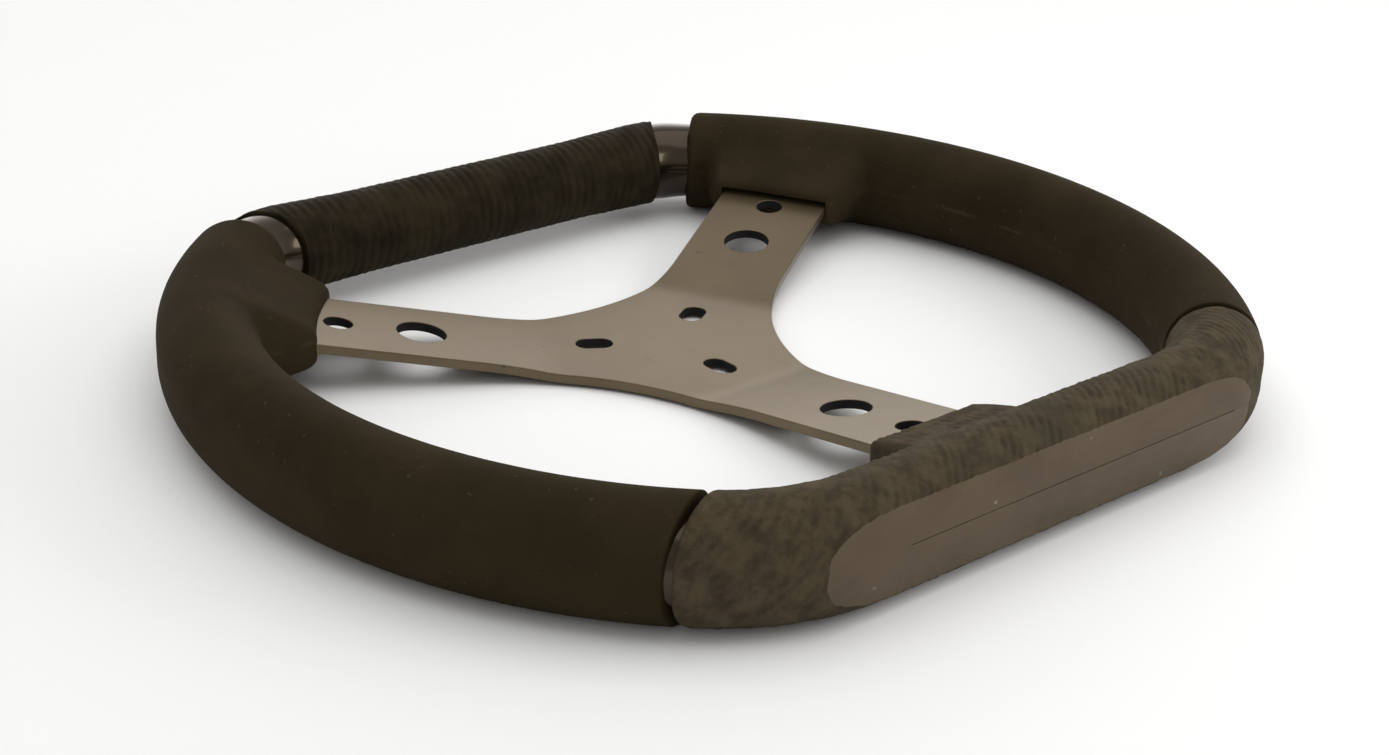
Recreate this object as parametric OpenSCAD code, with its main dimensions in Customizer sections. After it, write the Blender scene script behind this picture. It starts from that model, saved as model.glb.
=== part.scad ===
// Three-spoke dished steering wheel with a flat-bottomed rim.
// Millimetres. It lies on the backs of its grips.
// Origin: centre of the hub slots, on the rear face of the plate.
// +Z goes from the hub seat to the driver's side, +Y to the top bar.

/* [Rim] */
// Width over the two side grips
rim_width = 330; // [322:1:350]
// Hub centre to the axis of the top bar
top_y = 103; // [96:0.5:106]
// Hub centre to the axis of the bottom bar
bottom_y = 143.5; // [136:0.5:150]
// Height of the rim's mid-plane over the hub seat
rim_z = 16.4; // [12:0.1:24]
// Radius of the two upper bends of the tube
top_bend_r = 34.5; // [30:0.5:38]
// Radius of the two lower bends of the tube
bottom_bend_r = 63; // [56:0.5:70]

/* [Tube] */
// Outer diameter of the ring tube
tube_d = 25.4; // [22:0.1:27]
// Wall of the ring tube
tube_wall = 1.6; // [1:0.1:3]

/* [Plate] */
// Thickness of the spoke plate
plate_t = 3; // [2:0.1:4]
// Width of each spoke
spoke_w = 37; // [30:0.5:42]
// Angle between the bottom spoke and each side spoke
spoke_angle = 119; // [114:0.5:122]
// Hub centre to the line where a spoke is bent up
bend_s = 38.5; // [34:0.5:46]
// Radius of the curves between the spokes
web_r = 84; // [60:1:100]
// Diameter of the circle through the slot centres
slot_pcd = 47; // [42:0.5:52]
// Slot length, end to end
slot_l = 11.5; // [8:0.1:14]
// Slot width
slot_w = 7.3; // [5:0.1:9]
// Diameter of each large lightening hole
big_hole_d = 15; // [8:0.5:22]
// Hub centre to the large holes
big_hole_s = 76.7; // [70:0.1:84]
// Diameter of each small hole
small_hole_d = 8.7; // [4:0.1:10]
// Hub centre to the small holes
small_hole_s = 101.6; // [96:0.1:102]

/* [Covers] */
// Width of the oval grip, in the plane of the rim
grip_w = 28.6; // [27.6:0.1:34]
// Height of the oval grip
grip_h = 34.4; // [29:0.1:36]
// Depth of the flat on the bottom grip
flat_depth = 3.7; // [1:0.1:6]
// Diameter of the top sleeve along its middle
sleeve_d = 27.2; // [26.6:0.1:32]
// Diameter of the top sleeve at its ends
sleeve_end_d = 29.2; // [28:0.1:34]
// Half the length of the sleeve along X
sleeve_x = 80; // [76:0.5:84]
// Gap between a side grip and the bottom grip
seam_gap = 2; // [1:0.1:8]
// How far the left seam is turned from square
left_seam_turn = 23; // [0:1:25]
// Width of the boss over each spoke end
boss_w = 46; // [42:0.5:56]
// Hub centre to the inner face of each boss
boss_s = 106; // [103:0.5:114]
// Gap over the spoke at the mouth of the right boss
mouth_gap = 2.2; // [0.5:0.1:3]

/* [Hidden] */
$fn = 64;
tube_r = tube_d / 2;
side_x = 5.2;
side_y = -20;
side_r = rim_width / 2 - side_x - grip_w / 2;
fit = 0.02;
flat_skin = 0.9;
butt_gap = 1.2;
bead_r = 2.1;
end_turn = 11;
sleeve_end_turn = 36;
sleeve_flare_l = 34;
boss_lip = 4.4;
low_boss_lip = 2.6;
boss_drop = 8;
seam_reach = 4.5;

// centres of the four bends, right-hand side, and where they meet the side arc
top_c = [side_x + sqrt(pow(side_r - top_bend_r, 2) - pow(top_y - top_bend_r - side_y, 2)),
         top_y - top_bend_r];
low_c = [side_x + sqrt(pow(side_r - bottom_bend_r, 2) - pow(bottom_y - bottom_bend_r + side_y, 2)),
         -(bottom_y - bottom_bend_r)];
a_top = atan2(top_c[1] - side_y, top_c[0] - side_x);
a_low = atan2(low_c[1] - side_y, low_c[0] - side_x);

// distance from the hub centre to the tube's axis, along a side spoke
spoke_dir = [sin(spoke_angle), -cos(spoke_angle)];
along = side_x * spoke_dir[0] + side_y * spoke_dir[1];
side_s = along + sqrt(along * along - side_x * side_x - side_y * side_y + side_r * side_r);
a_spoke = atan2(side_s * spoke_dir[1] - side_y, side_s * spoke_dir[0] - side_x);

// the bends are this much fatter, and the runs reach this far into them, so that the pieces join
step = 0.25;
lap = 1.5;

// half the gap of a seam, and the lap, as angles on the side arc
seam_half = seam_gap / 2 / side_r * 180 / PI;
side_lap = lap / side_r * 180 / PI;

function reach(i) = i == 2 ? bottom_y : side_s;
function spoke_a(i) = i == 0 ? 270 - spoke_angle : (i == 1 ? spoke_angle - 90 : 270);
function tilt(i) = atan((rim_z - plate_t / 2) / (reach(i) - tube_r - bend_s));
function top_at(i, s) = plate_t + (s - bend_s) * tan(tilt(i));

// ---- paths ----

module arc_run(c, r, a0, a1, grow = 0) {
  $grow = grow;
  translate([c[0], c[1], rim_z])
    rotate([0, 0, a0])
      rotate_extrude(angle = a1 - a0, $fn = 128)
        translate([r, 0])
          children();
}

module top_run(half) {
  $grow = 0;
  translate([-half, top_y, rim_z])
    rotate([90, 0, 90])
      linear_extrude(height = 2 * half)
        children();
}

module bottom_run(half) {
  $grow = 0;
  translate([half, -bottom_y, rim_z])
    rotate([90, 0, -90])
      linear_extrude(height = 2 * half)
        children();
}

module half_ring() {
  arc_run(top_c, top_bend_r, a_top, 90, step) children();
  arc_run([side_x, side_y], side_r, a_low - side_lap, a_top + side_lap) children();
  arc_run(low_c, bottom_bend_r, -90, a_low, step) children();
}

module ring() {
  top_run(top_c[0] + lap) children();
  bottom_run(low_c[0] + lap) children();
  half_ring() children();
  mirror([1, 0, 0])
    half_ring() children();
}

module oval() {
  k = (grip_h - grip_w) / 2;
  w = grip_w + ($grow > 0 ? 0.3 : 0);
  translate([0, k])
    circle(d = w);
  translate([0, -k])
    circle(d = w);
  square([w, 2 * k], center = true);
}

module beyond_flat(depth) {
  translate([-200, -bottom_y - grip_w / 2 + flat_depth + depth - 40, rim_z - 40])
    cube([400, 40, 80]);
}

// the outside of the tube, pressed flat under the flat of the bottom grip
module tube_core(extra = 0) {
  difference() {
    ring()
      circle(r = tube_r + extra + $grow);
    beyond_flat(flat_skin - extra);
  }
}

// ---- spoke plate ----

function web_s(h) = (spoke_w / 2 + web_r) / tan(h);
function web_c(m, h) = (spoke_w / 2 + web_r) / sin(h) * [cos(m), sin(m)];
function web_arc(m, h, n) =
  [for (k = [0 : n]) web_c(m, h) + web_r * [cos(m + 180 + (90 - h) * (1 - 2 * k / n)),
                                             sin(m + 180 + (90 - h) * (1 - 2 * k / n))]];

module arm_end(i) {
  a = spoke_a(i);
  rotate([0, 0, a])
    translate([20, -spoke_w / 2])
      square([reach(i) - 20, spoke_w]);
}

module outline() {
  h = spoke_angle / 2;
  g = 180 - spoke_angle;
  polygon(concat(web_arc(270 + h, h, 20), web_arc(90, g, 20), web_arc(270 - h, h, 20)));
  for (i = [0 : 2])
    arm_end(i);
}

module slot_cut(a) {
  rotate([0, 0, a])
    translate([slot_pcd / 2, 0, -1])
      linear_extrude(height = plate_t + 2)
        union() {
          for (s = [-1, 1])
            translate([s * (slot_l - slot_w) / 2, 0])
              circle(d = slot_w);
          square([slot_l - slot_w, slot_w], center = true);
        }
}

// everything under the line z = z0 + (s - bend_s) * tan(tilt), from a little before the bend
module under_slope(i, z0) {
  near = bend_s - 5;
  far = reach(i) + 20;
  slope = tan(tilt(i));
  rotate([0, 0, spoke_a(i)])
    rotate([90, 0, 0])
      linear_extrude(height = 90, center = true)
        polygon([[near, -6], [far, -6], [far, z0 + (far - bend_s) * slope],
                 [near, z0 + (near - bend_s) * slope]]);
}

module arm_hole(i, d, s) {
  t = tilt(i);
  rotate([0, 0, spoke_a(i)])
    translate([bend_s, 0, 0])
      rotate([0, -t, 0])
        translate([(s - bend_s) / cos(t), 0, -2])
          cylinder(d = d, h = plate_t + 4);
}

module spoke_plate() {
  color([0.24, 0.22, 0.2])
    difference() {
      intersection() {
        linear_extrude(height = 60)
          outline();
        union() {
          translate([-90, -160, -6])
            cube([180, 220, plate_t + 6]);
          for (i = [0 : 2])
            under_slope(i, plate_t / cos(tilt(i)));
        }
      }
      for (i = [0 : 2]) {
        under_slope(i, 0);
        arm_hole(i, big_hole_d, big_hole_s);
        arm_hole(i, small_hole_d, small_hole_s);
      }
      for (a = [30, 150, 270])
        slot_cut(a);
      tube_core(fit);
    }
}

// ---- ring tube and its joint ----

module ring_tube() {
  color([0.05, 0.05, 0.05])
    difference() {
      tube_core();
      tube_core(-tube_wall);
      translate([-butt_gap / 2, -bottom_y - 20, rim_z - 20])
        cube([butt_gap, 40, 40]);
    }
}

module ring_weld() {
  color([0.3, 0.3, 0.3])
    difference() {
      bottom_run(butt_gap / 2)
        circle(r = tube_r);
      beyond_flat(flat_skin);
      difference() {
        bottom_run(butt_gap)
          circle(r = tube_r - tube_wall);
        beyond_flat(flat_skin + tube_wall);
      }
    }
}

// ---- welds between plate and tube ----

module bead_path(i, r, span) {
  if (i == 2) {
    translate([0, -bottom_y + tube_r + 0.2, rim_z])
      rotate([90, 0, -90])
        translate([0, 0, -span / 2])
          linear_extrude(height = span)
            children();
  } else {
    mirror([i == 0 ? 1 : 0, 0, 0])
      arc_run([side_x, side_y], side_r - tube_r - 0.2,
              a_spoke - span / 2 / side_r * 180 / PI, a_spoke + span / 2 / side_r * 180 / PI)
        children();
  }
}

module arm_blank(i, clear) {
  rotate([0, 0, spoke_a(i)])
    translate([bend_s, 0, 0])
      rotate([0, -tilt(i), 0])
        translate([20, -spoke_w / 2 - clear, -clear])
          cube([reach(i) - bend_s - 20, spoke_w + 2 * clear, plate_t + 2 * clear]);
}

module weld(i, side) {
  difference() {
    bead_path(i, bead_r, spoke_w - 3)
      translate([0, side * (plate_t / 2 + 0.5)])
        circle(r = bead_r);
    arm_blank(i, fit);
    tube_core(fit);
  }
}

module weld_left_upper() {
  color([0.3, 0.3, 0.3])
    weld(0, 1);
}

module weld_left_lower() {
  color([0.3, 0.3, 0.3])
    weld(0, -1);
}

module weld_right_upper() {
  color([0.3, 0.3, 0.3])
    weld(1, 1);
}

module weld_right_lower() {
  color([0.3, 0.3, 0.3])
    weld(1, -1);
}

module weld_bottom_upper() {
  color([0.3, 0.3, 0.3])
    weld(2, 1);
}

module weld_bottom_lower() {
  color([0.3, 0.3, 0.3])
    weld(2, -1);
}

// ---- grips ----

module boss(i) {
  s1 = reach(i) - 6;
  z = grip_h / 2 - 2.7;
  crown = i == 2 ? z - 5.5 : z;
  lip = i == 2 ? low_boss_lip : boss_lip;
  rotate([0, 0, spoke_a(i)])
    rotate([90, 0, 0])
      linear_extrude(height = boss_w, center = true)
        polygon([[boss_s, rim_z - boss_drop], [s1, rim_z - z], [s1, rim_z + crown],
                 [boss_s, top_at(i, boss_s) + lip]]);
}

module pocket(i, over) {
  arm_blank(i, 0.3);
  bead_path(i, bead_r, spoke_w + 1)
    square([2 * bead_r + 0.6, plate_t + 2 * bead_r + 1.8], center = true);
  rotate([0, 0, spoke_a(i)])
    translate([bend_s, 0, 0])
      rotate([0, -tilt(i), 0])
        translate([50, -spoke_w / 2 - 0.3, 0])
          cube([boss_s - bend_s - 50 + 13, spoke_w + 0.6, plate_t + over]);
}

module end_plane(a, turn, side) {
  translate([side_x + side_r * cos(a), side_y + side_r * sin(a), rim_z])
    rotate([0, 0, a + turn])
      translate([-60, side > 0 ? 0 : -40, -40])
        cube([120, 40, 80]);
}

module side_grip(i, over, seam_turn) {
  difference() {
    union() {
      arc_run([side_x, side_y], side_r, a_low - side_lap, a_top + 2)
        oval();
      if (seam_turn > 0)
        arc_run(low_c, bottom_bend_r, a_low - 2 * seam_reach, a_low, step)
          oval();
      mirror([i == 0 ? 1 : 0, 0, 0])
        boss(i);
    }
    end_plane(a_top, -end_turn, 1);
    end_plane(a_low + seam_half, seam_turn, -1);
    tube_core(fit);
    mirror([i == 0 ? 1 : 0, 0, 0])
      pocket(i, over);
  }
}

module left_grip() {
  color([0.12, 0.11, 0.1])
    mirror([1, 0, 0])
      side_grip(0, 0.3, left_seam_turn);
}

module right_grip() {
  color([0.12, 0.11, 0.1])
    side_grip(1, mouth_gap, 0);
}

module bottom_grip() {
  color([0.16, 0.14, 0.12])
    difference() {
      union() {
        bottom_run(low_c[0] + lap)
          oval();
        for (s = [0, 1])
          mirror([s, 0, 0]) {
            arc_run(low_c, bottom_bend_r, -90, a_low, step)
              oval();
            if (s * left_seam_turn > 0)
              arc_run([side_x, side_y], side_r, a_low - side_lap, a_low + seam_reach)
                oval();
          }
        boss(2);
      }
      for (s = [0, 1])
        mirror([s, 0, 0])
          end_plane(a_low - seam_half, s * left_seam_turn, 1);
      beyond_flat(0);
      tube_core(fit);
      pocket(2, 0.3);
    }
}

module sleeve_end_cut() {
  phi = asin(max(0, min(0.9, (sleeve_x - top_c[0]) / top_bend_r)));
  translate([sleeve_x, top_c[1] + top_bend_r * cos(phi), rim_z])
    rotate([0, 0, -sleeve_end_turn])
      translate([0, -rim_width / 2, -40])
        cube([rim_width, rim_width, 80]);
}

module top_sleeve() {
  flare_x = top_c[0] - sleeve_flare_l;
  color([0.14, 0.13, 0.11])
    difference() {
      union() {
        top_run(flare_x + lap)
          circle(d = sleeve_d);
        for (s = [0, 1])
          mirror([s, 0, 0]) {
            translate([flare_x, top_y, rim_z])
              rotate([0, 90, 0])
                cylinder(d1 = sleeve_d + 2 * step, d2 = sleeve_end_d, h = sleeve_flare_l + 0.5);
            arc_run(top_c, top_bend_r, 50, 90, step)
              circle(d = sleeve_end_d + 3 * $grow);
          }
      }
      for (s = [0, 1])
        mirror([s, 0, 0])
          sleeve_end_cut();
      tube_core(fit);
    }
}

ring_tube();
ring_weld();
spoke_plate();
weld_left_upper();
weld_left_lower();
weld_right_upper();
weld_right_lower();
weld_bottom_upper();
weld_bottom_lower();
left_grip();
right_grip();
bottom_grip();
top_sleeve();
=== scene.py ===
"""Flat-bottomed, three-spoke steering wheel: tube, spoke plate, foam grips, ribbed sleeve and a studio."""

import math
from typing import NamedTuple

import bmesh
import bpy
import numpy as np
from mathutils import Matrix, Vector


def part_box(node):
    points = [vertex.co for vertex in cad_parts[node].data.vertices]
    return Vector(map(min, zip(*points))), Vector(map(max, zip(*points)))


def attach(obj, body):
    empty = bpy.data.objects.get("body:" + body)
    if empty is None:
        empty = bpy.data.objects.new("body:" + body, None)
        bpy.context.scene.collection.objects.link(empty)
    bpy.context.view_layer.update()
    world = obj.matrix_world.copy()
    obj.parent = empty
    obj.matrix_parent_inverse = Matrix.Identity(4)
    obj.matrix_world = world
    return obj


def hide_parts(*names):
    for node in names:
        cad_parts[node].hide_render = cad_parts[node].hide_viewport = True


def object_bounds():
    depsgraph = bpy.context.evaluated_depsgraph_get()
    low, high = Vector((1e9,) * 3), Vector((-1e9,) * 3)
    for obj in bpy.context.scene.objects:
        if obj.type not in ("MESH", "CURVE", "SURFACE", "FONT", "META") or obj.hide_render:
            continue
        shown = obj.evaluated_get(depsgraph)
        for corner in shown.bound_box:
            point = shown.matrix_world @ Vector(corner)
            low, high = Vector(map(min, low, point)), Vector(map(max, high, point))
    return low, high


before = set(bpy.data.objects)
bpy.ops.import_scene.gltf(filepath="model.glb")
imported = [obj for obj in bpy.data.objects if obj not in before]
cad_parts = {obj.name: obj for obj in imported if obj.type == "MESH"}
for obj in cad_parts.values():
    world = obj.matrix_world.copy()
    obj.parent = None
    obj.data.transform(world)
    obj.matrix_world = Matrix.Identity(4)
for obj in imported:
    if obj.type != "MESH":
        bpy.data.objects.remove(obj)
cad_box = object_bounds()

bl_info = {
    "name": "Flat-Bottomed Steering Wheel",
    "version": (1, 0, 0),
    "blender": (4, 5, 0),
    "location": "View3D > Sidebar > Wheel",
    "description": "Builds the tube, spoke plate, foam grips, ribbed sleeve and studio of a racing wheel",
    "category": "Object",
}

MM = 0.001
HUB_SEAT_Z = 0.0
GRIP_LOW, GRIP_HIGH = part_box("right_grip")
RIM_Z = (GRIP_LOW.z + GRIP_HIGH.z) / 2
GRIP_HEIGHT = GRIP_HIGH.z - GRIP_LOW.z
RIM_WIDTH = 2 * GRIP_HIGH.x
FLAT_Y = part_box("bottom_grip")[0].y
SPOKES = ("left", "right", "bottom")
# clearance between a bore and the tube, and between a pocket and the plate
BORE_GAP = 0.02 * MM
POCKET_GAP = 0.3 * MM
# foam left between the flat and the tube
FLAT_SKIN = 0.9 * MM


class Boss(NamedTuple):
    """Shape of the boss over one spoke end, in metres."""

    fall_before: float  # length over which its first side falls away
    fall_after: float  # the same on its second side
    lean: float  # slant of the inner face, for each metre across
    hollow: float  # how far the middle of that face stands back
    sunk: float  # how far the crown stays under the grip's crown
    lip: float  # height over the plate at the inner face
    edge: float  # radius of its edges


BOSSES = {
    "left": Boss(5.0 * MM, 19.0 * MM, 0.13, 1.8 * MM, 0.0, 4.4 * MM, 2.2 * MM),
    "right": Boss(13.0 * MM, 8.0 * MM, 0.0, 0.0, 0.0, 4.4 * MM, 1.4 * MM),
    "bottom": Boss(8.0 * MM, 12.0 * MM, 0.0, 0.0, 5.5 * MM, 2.6 * MM, 1.4 * MM),
}


# ---- sizes and colours that a user would change ----


def length(name, description, mm):
    """A property for a length, given in millimetres and kept in metres."""
    return bpy.props.FloatProperty(
        name=name, description=description, default=mm * MM, min=0, unit="LENGTH", subtype="DISTANCE"
    )


def turn(name, description, degrees):
    """A property for an angle."""
    return bpy.props.FloatProperty(
        name=name, description=description, default=math.radians(degrees), subtype="ANGLE"
    )


def tint(name, description, red, green, blue):
    """A property for a linear colour."""
    return bpy.props.FloatVectorProperty(
        name=name, description=description, default=(red, green, blue), size=3, min=0, max=1,
        subtype="COLOR",
    )


class RimSizes(bpy.types.PropertyGroup):
    """Sizes of the ring tube and of its centre line."""

    top_y: length("Top Bar", "Hub centre to the axis of the top bar", 103)
    bottom_y: length("Bottom Bar", "Hub centre to the axis of the bottom bar", 143.5)
    top_bend: length("Upper Bends", "Radius of the two upper bends", 34.5)
    low_bend: length("Lower Bends", "Radius of the two lower bends", 63)
    arc_x: length("Arc Centre X", "Middle to the centre of each side arc", 5.2)
    arc_y: length("Arc Centre Y", "How far the side arcs' centres lie below the hub", 20)
    tube_radius: length("Tube Radius", "Outer radius of the tube", 12.7)
    tube_wall: length("Tube Wall", "Wall of the tube", 1.6)
    bulge: length("Bend Bulge", "How much the upper bends stand taller than the tube", 0.8)
    butt_gap: length("Butt Gap", "Width of the welded joint in the bottom bar", 1.2)


class PlateSizes(bpy.types.PropertyGroup):
    """Sizes of the spoke plate."""

    thickness: length("Thickness", "Thickness of the plate", 3)
    spoke_width: length("Spoke Width", "Width of each spoke", 37)
    spoke_angle: turn("Spoke Angle", "Angle between the bottom spoke and each side spoke", 119)
    bend: length("Bend", "Hub centre to the line where a spoke is bent up", 38.5)
    web_radius: length("Web Radius", "Radius of the curves between the spokes", 84)
    slot_circle: length("Slot Circle", "Radius of the circle through the slot centres", 23.5)
    slot_length: length("Slot Length", "Length of each hub slot", 11.5)
    slot_width: length("Slot Width", "Width of each hub slot", 7.3)
    big_hole: length("Large Hole", "Radius of each large hole", 7.5)
    big_hole_at: length("Large Hole Place", "Hub centre to each large hole", 76.7)
    small_hole: length("Small Hole", "Radius of each small hole", 4.35)
    small_hole_at: length("Small Hole Place", "Hub centre to each small hole", 101.6)
    edge: length("Edge", "Radius of the rubbed edges", 0.3)


class GripSizes(bpy.types.PropertyGroup):
    """Sizes of the foam grips and of the sleeve."""

    width: length("Grip Width", "Width of the oval grip", 28.6)
    seam: length("Seam", "Gap between a side grip and the bottom grip", 1.9)
    seam_turn: turn("Seam Turn", "How far the left seam is turned from square", 23)
    end_turn: turn("End Turn", "How far a side grip's upper end is turned from square", 11)
    boss_width: length("Boss Width", "Width of the boss over each spoke end", 46)
    boss_at: length("Boss Place", "Hub centre to the inner face of each boss", 106)
    mouth: length("Mouth Gap", "Gap over the spoke in the right boss", 2.2)
    twill_pitch: length("Twill Pitch", "Distance between two slanted ridges", 3.1)
    twill_height: length("Twill Height", "Height of the slanted ridges", 0.13)
    sleeve_radius: length("Sleeve Radius", "Radius of the sleeve along its middle", 13.45)
    sleeve_end: length("Sleeve End", "Radius of the sleeve at its ends", 14.4)
    sleeve_reach: length("Sleeve Reach", "Half the length of the sleeve", 80)
    sleeve_turn: turn("Sleeve Turn", "How far the sleeve's ends are turned from square", 23)
    rib_pitch: length("Rib Pitch", "Distance between two ribs of the sleeve", 3.4)
    rib_height: length("Rib Height", "Height of the sleeve's ribs", 0.15)


class Finishes(bpy.types.PropertyGroup):
    """Colours of the finishes."""

    foam: tint("Foam", "Smooth skin of the side grips", 0.0285, 0.0208, 0.0108)
    twill: tint("Textured Foam", "Textured skin of the bottom grip", 0.06, 0.0455, 0.0275)
    flat: tint("Flat", "Smooth flat of the bottom grip", 0.098, 0.0725, 0.046)
    sleeve: tint("Sleeve", "Ribbed sleeve of the top bar", 0.0175, 0.0132, 0.0068)
    tube: tint("Tube Paint", "Gloss paint of the tube", 0.042, 0.03, 0.019)
    plate: tint("Plate Paint", "Satin paint of the spoke plate", 0.14, 0.105, 0.062)
    weld: tint("Weld Paint", "Paint over the weld beads", 0.012, 0.011, 0.0105)
    floor: tint("Floor", "Pale studio floor", 0.93, 0.955, 0.985)


# ---- node helpers ----


def math_node(operation, swapped=False):
    """A method that adds one Math node to its wire and another value."""
    if swapped:
        return lambda wire, other: wire.math(operation, other, wire)
    return lambda wire, other: wire.math(operation, wire, other)


class Wire:
    """A number socket: an expression on wires adds its Math nodes."""

    def __init__(self, net, socket):
        self.net = net
        self.socket = socket

    def math(self, operation, *terms):
        return self.net.wire("ShaderNodeMath", 0, {"operation": operation}, dict(enumerate(terms)))

    __add__ = __radd__ = math_node("ADD")
    __mul__ = __rmul__ = math_node("MULTIPLY")
    __sub__, __rsub__ = math_node("SUBTRACT"), math_node("SUBTRACT", swapped=True)
    __truediv__, __rtruediv__ = math_node("DIVIDE"), math_node("DIVIDE", swapped=True)

    def sine(self):
        return self.math("SINE", self)

    def clipped(self):
        return self.math("MAXIMUM", self.math("MINIMUM", self, 1.0), 0.0)

    def ramp(self, low, high):
        """0 below low, 1 above high, smooth between them; low may be the larger."""
        share = ((self - low) / (high - low)).clipped()
        return share * share * (3.0 - 2.0 * share)


class Net:
    """A node tree with one way to add a node and one way to feed a socket."""

    def __init__(self, tree):
        self.tree = tree

    def feed(self, socket, value):
        if isinstance(value, Wire):
            self.tree.links.new(value.socket, socket)
        else:
            socket.default_value = value

    def add(self, kind, settings=None, values=None):
        node = self.tree.nodes.new(kind)
        for name, value in (settings or {}).items():
            setattr(node, name, value)
        for key, value in (values or {}).items():
            self.feed(node.inputs[key], value)
        return node

    def wire(self, kind, output, settings=None, values=None):
        return Wire(self, self.add(kind, settings, values).outputs[output])

    def noise(self, place, size, detail, rough, w=0.0):
        """Noise from 0 to 1 whose lumps are about size metres across; w picks another pattern."""
        return self.wire(
            "ShaderNodeTexNoise", 0, {"noise_dimensions": "4D"},
            {"Vector": place, "W": w, "Scale": 0.6 / size, "Detail": detail, "Roughness": rough},
        )

    def mix(self, share, first, second):
        """A colour between two colours."""
        first, second = (c if isinstance(c, Wire) else (*c, 1) for c in (first, second))
        return self.wire("ShaderNodeMix", 2, {"data_type": "RGBA"}, {0: share, 6: first, 7: second})


def shade(colour, factor):
    """A colour made lighter or darker."""
    return tuple(min(1.0, c * factor) for c in colour)


def new_material(name, metallic=0.0, specular=0.5, coat=0.0, coat_roughness=0.1):
    """An empty material, its net and Object coordinates."""
    material = bpy.data.materials.new(name)
    material.use_nodes = True
    net = Net(material.node_tree)
    shader = net.tree.nodes["Principled BSDF"]
    names = ("Metallic", "Specular IOR Level", "Coat Weight", "Coat Roughness")
    for key, value in zip(names, (metallic, specular, coat, coat_roughness)):
        shader.inputs[key].default_value = value
    return material, net, net.wire("ShaderNodeTexCoord", "Object")


def finished(material, net, colour, roughness, height, depth):
    """The material with its shader fed: colour, roughness and a bump of the given depth."""
    shader = net.tree.nodes["Principled BSDF"]
    net.feed(shader.inputs["Base Color"], colour)
    net.feed(shader.inputs["Roughness"], roughness)
    bump = net.wire("ShaderNodeBump", 0, None, {"Strength": 1.0, "Distance": depth, "Height": height})
    net.feed(shader.inputs["Normal"], bump)
    return material


def attribute(net, name):
    """A number stored on the piece's points."""
    return net.wire("ShaderNodeAttribute", "Fac", {"attribute_name": name})


# ---- materials ----


def foam_smooth(colour):
    """Matt moulded skin, faintly cloudy, with fine pores, dust and a pale trace along the mould line."""
    material, net, place = new_material("foam_smooth", specular=0.025)
    cloud = net.noise(place, 14 * MM, 4.0, 0.6)
    smear = net.noise(place, 45 * MM, 2.0, 0.5, 3.0)
    pores = net.noise(place, 0.45 * MM, 3.0, 0.65, 7.0)
    dust = net.noise(place, 0.9 * MM, 0.0, 0.5, 11.0).ramp(0.79, 0.83)
    base = net.mix(cloud.ramp(0.3, 0.75), shade(colour, 0.82), shade(colour, 1.22))
    base = net.mix(smear.ramp(0.4, 0.75) * 0.35, base, (0.028, 0.023, 0.01))
    line = attribute(net, "inner").ramp(1.1 * MM, 0.2 * MM)
    trace = line * net.noise(place, 6 * MM, 3.0, 0.6, 5.0).ramp(0.5, 0.68)
    base = net.mix(trace * 0.3, base, (0.08, 0.062, 0.03))
    base = net.mix(dust * 0.2, base, (0.12, 0.1, 0.075))
    roughness = 0.64 + cloud * 0.14 + pores * 0.08
    return finished(material, net, base, roughness, pores + cloud * 0.8, 0.09 * MM)


def foam_textured(colour):
    """Coarse moulded skin: its ridges are painted lighter than its hollows as a painted highlight, with
    random dark flecks.
    """
    material, net, place = new_material("foam_textured", specular=0.08)
    blotch = net.noise(place, 3.6 * MM, 4.0, 0.62)
    patch = net.noise(place, 17 * MM, 3.0, 0.55, 2.0)
    grain = net.noise(place, 0.7 * MM, 4.0, 0.7, 5.0)
    relief = attribute(net, "relief")
    base = net.mix(blotch.ramp(0.36, 0.66), shade(colour, 0.6), shade(colour, 1.26))
    base = net.mix(patch.ramp(0.42, 0.7) * 0.5, base, (0.036, 0.034, 0.02))
    # painted highlight: the ridges, from the stored relief, are painted lighter than the hollows
    base = net.mix(relief.ramp(-0.7, 0.9) * 0.34, base, shade(colour, 1.45))
    base = net.mix(grain.ramp(0.55, 0.75) * 0.3, base, shade(colour, 0.45))
    roughness = 0.74 + grain * 0.12
    return finished(material, net, base, roughness, grain + blotch * 0.6, 0.22 * MM)


def foam_flat(colour):
    """Smooth, slightly glazed flat with faint drag marks along it."""
    material, net, place = new_material("foam_flat", specular=0.15)
    drawn = net.wire("ShaderNodeMapping", 0, None, {"Vector": place, "Scale": (0.12, 1.0, 1.0)})
    drag = net.noise(drawn, 1.2 * MM, 3.0, 0.6, 1.0)
    cloud = net.noise(place, 16 * MM, 3.0, 0.55, 4.0)
    speck = net.noise(place, 1.5 * MM, 0.0, 0.5, 9.0).ramp(0.83, 0.86)
    base = net.mix(cloud.ramp(0.3, 0.7), shade(colour, 0.9), shade(colour, 1.12))
    base = net.mix(drag.ramp(0.5, 0.8) * 0.25, base, shade(colour, 0.75))
    base = net.mix(speck * 0.5, base, (0.3, 0.28, 0.25))
    return finished(material, net, base, 0.5 + drag * 0.12, drag + cloud, 0.03 * MM)


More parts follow.
